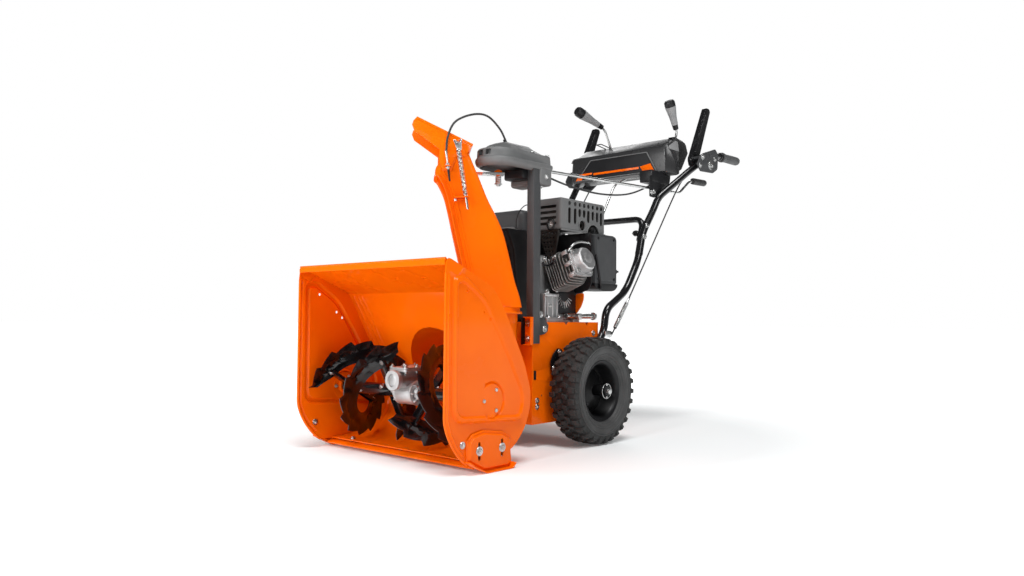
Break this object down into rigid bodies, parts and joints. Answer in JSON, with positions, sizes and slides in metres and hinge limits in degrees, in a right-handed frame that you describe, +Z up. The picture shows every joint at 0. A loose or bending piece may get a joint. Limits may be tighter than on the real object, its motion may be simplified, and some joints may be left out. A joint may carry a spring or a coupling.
{
  "type": "snow blower",
  "caption": "Walk-behind snow blower: toothed augers feed an impeller and a turning chute; petrol engine, friction drive, pneumatic tyres, console and levers.",
  "frame": {"origin": "centre of the bounding box in plan, on the ground plane that the skid shoes and tyres stand on", "axes": "+Y from the auger housing's mouth towards the operator's grips, +X to the operator's left, +Z up"},
  "size_m": [0.658, 1.62, 1.2108],
  "materials": {
    "orange_paint": "gloss powder coat",
    "black_paint": "satin black powder coat",
    "charcoal_plastic": "fine moulded grain",
    "zinc_steel": "zinc plated",
    "cast_aluminium": "as cast",
    "tyre_rubber": "moulded rubber",
    "grip_rubber": "soft matte",
    "belt_rubber": "cord backed"
  },
  "bodies": {
    "frame": {"auger_housing": "orange_paint", "side_plate_left": "orange_paint", "side_plate_right": "orange_paint", "impeller_housing": "orange_paint", "scraper_blade": "orange_paint", "skid_shoe_left": "orange_paint", "skid_shoe_right": "orange_paint", "gear_case": "cast_aluminium", "auger_belt": "belt_rubber", "traction_belt": "belt_rubber", "tractor_frame": "orange_paint", "gear_head_cover": "charcoal_plastic", "chute_post": "black_paint", "post_bracket": "orange_paint", "belt_cover": "charcoal_plastic", "engine_block": "cast_aluminium", "engine_cylinder": "cast_aluminium", "valve_cover": "cast_aluminium", "muffler_cover": "charcoal_plastic", "heater_box": "charcoal_plastic", "fuel_tank": "charcoal_plastic", "recoil_housing": "charcoal_plastic", "handlebar_left": "black_paint", "handlebar_right": "black_paint", "handlebar_crossbar": "black_paint", "grip_left": "grip_rubber", "grip_right": "grip_rubber", "control_panel": "charcoal_plastic", "lever_bracket_left": "black_paint", "lever_bracket_right": "black_paint", "deflector_cable_front": "grip_rubber", "deflector_cable_rear": "grip_rubber", "clutch_cable_left": "zinc_steel", "clutch_cable_right": "zinc_steel"},
    "auger": {"auger_shaft": "zinc_steel", "auger_flight_left": "black_paint", "auger_flight_right": "black_paint"},
    "impeller": {"impeller": "orange_paint", "impeller_shaft": "zinc_steel", "auger_pulley": "zinc_steel"},
    "wheels": {"drive_axle": "zinc_steel", "rim_left": "black_paint", "rim_right": "black_paint", "tyre_left": "tyre_rubber", "tyre_right": "tyre_rubber"},
    "friction_disc": {"friction_disc": "cast_aluminium"},
    "hex_shaft": {"hex_shaft": "zinc_steel"},
    "friction_wheel": {"friction_wheel": "tyre_rubber"},
    "crankshaft": {"crankshaft": "zinc_steel"},
    "chute": {"chute": "orange_paint", "deflector_spring": "zinc_steel"},
    "deflector": {"deflector": "orange_paint"},
    "deflector_rod": {"deflector_rod": "zinc_steel"},
    "chute_crank": {"chute_crank": "zinc_steel"},
    "traction_lever": {"traction_lever": "black_paint"},
    "auger_lever": {"auger_lever": "black_paint"},
    "speed_lever": {"speed_lever": "charcoal_plastic"},
    "deflector_lever": {"deflector_lever": "charcoal_plastic"},
    "recoil_handle": {"recoil_handle": "charcoal_plastic"},
    "choke_knob": {"choke_knob": "charcoal_plastic"}
  },
  "joints": [
    {"name": "auger_spin", "type": "hinge", "parent": "frame", "child": "auger", "pos_m": [0, -0.64404, 0.177], "axis": [1, 0, 0], "continuous": true},
    {"name": "impeller_spin", "type": "hinge", "parent": "frame", "child": "impeller", "pos_m": [0, -0.50604, 0.213], "axis": [0, 1, 0], "continuous": true},
    {"name": "wheel_spin", "type": "hinge", "parent": "frame", "child": "wheels", "pos_m": [0, -0.10604, 0.165], "axis": [1, 0, 0], "continuous": true},
    {"name": "hex_shaft_spin", "type": "hinge", "parent": "frame", "child": "hex_shaft", "pos_m": [0, -0.15804, 0.245], "axis": [1, 0, 0], "continuous": true},
    {"name": "friction_wheel_slide", "type": "slide", "parent": "hex_shaft", "child": "friction_wheel", "axis": [1, 0, 0], "range_m": [-0.093, 0.01]},
    {"name": "friction_disc_spin", "type": "hinge", "parent": "frame", "child": "friction_disc", "pos_m": [0, -0.25104, 0.245], "axis": [0, 1, 0], "continuous": true},
    {"name": "crankshaft_spin", "type": "hinge", "parent": "frame", "child": "crankshaft", "pos_m": [0, -0.10604, 0.49], "axis": [0, 1, 0], "continuous": true},
    {"name": "chute_turn", "type": "hinge", "parent": "frame", "child": "chute", "pos_m": [0.1075, -0.40604, 0.3985], "axis": [0, 0, 1], "range_deg": [-53.8, 136.2], "deforming": ["deflector_cable_front"]},
    {"name": "chute_crank_turn", "type": "hinge", "parent": "frame", "child": "chute_crank", "pos_m": [0.15, -0.23604, 0.843], "axis": [0.0676, 0.9974, 0.0256], "range_deg": [-330, 820]},
    {"name": "deflector_tilt", "type": "hinge", "parent": "chute", "child": "deflector", "pos_m": [0.04295, -0.47978, 0.868], "axis": [-0.7524, 0.6587, 0], "range_deg": [-45, 0], "deforming": ["deflector_spring"]},
    {"name": "deflector_rod_turn", "type": "hinge", "parent": "deflector", "child": "deflector_rod", "pos_m": [0.08946, -0.55797, 0.889], "axis": [-0.7524, 0.6587, 0], "range_deg": [0, 40.2]},
    {"name": "deflector_lever_turn", "type": "hinge", "parent": "frame", "child": "deflector_lever", "pos_m": [0.19, 0.49396, 1.069], "axis": [1, 0, 0], "range_deg": [-41, 0]},
    {"name": "speed_lever_turn", "type": "hinge", "parent": "frame", "child": "speed_lever", "pos_m": [-0.1, 0.48996, 1.069], "axis": [1, 0, 0], "range_deg": [-50, 5]},
    {"name": "traction_lever_turn", "type": "hinge", "parent": "frame", "child": "traction_lever", "pos_m": [0.256, 0.49396, 0.985], "axis": [1, 0, 0], "range_deg": [-46, 0], "stiffness_Nm_per_rad": 1.2, "springref_deg": 8.59},
    {"name": "auger_lever_turn", "type": "hinge", "parent": "frame", "child": "auger_lever", "pos_m": [-0.256, 0.49396, 0.985], "axis": [1, 0, 0], "range_deg": [-46, 0], "stiffness_Nm_per_rad": 1.2, "springref_deg": 8.59},
    {"name": "starter_pull", "type": "slide", "parent": "frame", "child": "recoil_handle", "axis": [0, 1, 0], "range_m": [0, 0.45], "stiffness_N_per_m": 20, "springref_m": -0.05},
    {"name": "choke_turn", "type": "hinge", "parent": "frame", "child": "choke_knob", "pos_m": [0.16, 0.12326, 0.548], "axis": [0, 1, 0], "range_deg": [0, 90]}
  ],
  "couplings": [
    {"joint": "impeller_spin", "follows": "auger_spin", "ratio": -10},
    {"joint": "hex_shaft_spin", "follows": "wheel_spin", "ratio": -4},
    {"joint": "friction_wheel_slide", "follows": "speed_lever_turn", "m_per_rad": 0.105},
    {"joint": "chute_crank_turn", "follows": "chute_turn", "ratio": 6},
    {"joint": "deflector_rod_turn", "follows": "deflector_tilt", "ratio": -0.888},
    {"joint": "deflector_lever_turn", "follows": "deflector_tilt", "ratio": 0.89}
  ]
}
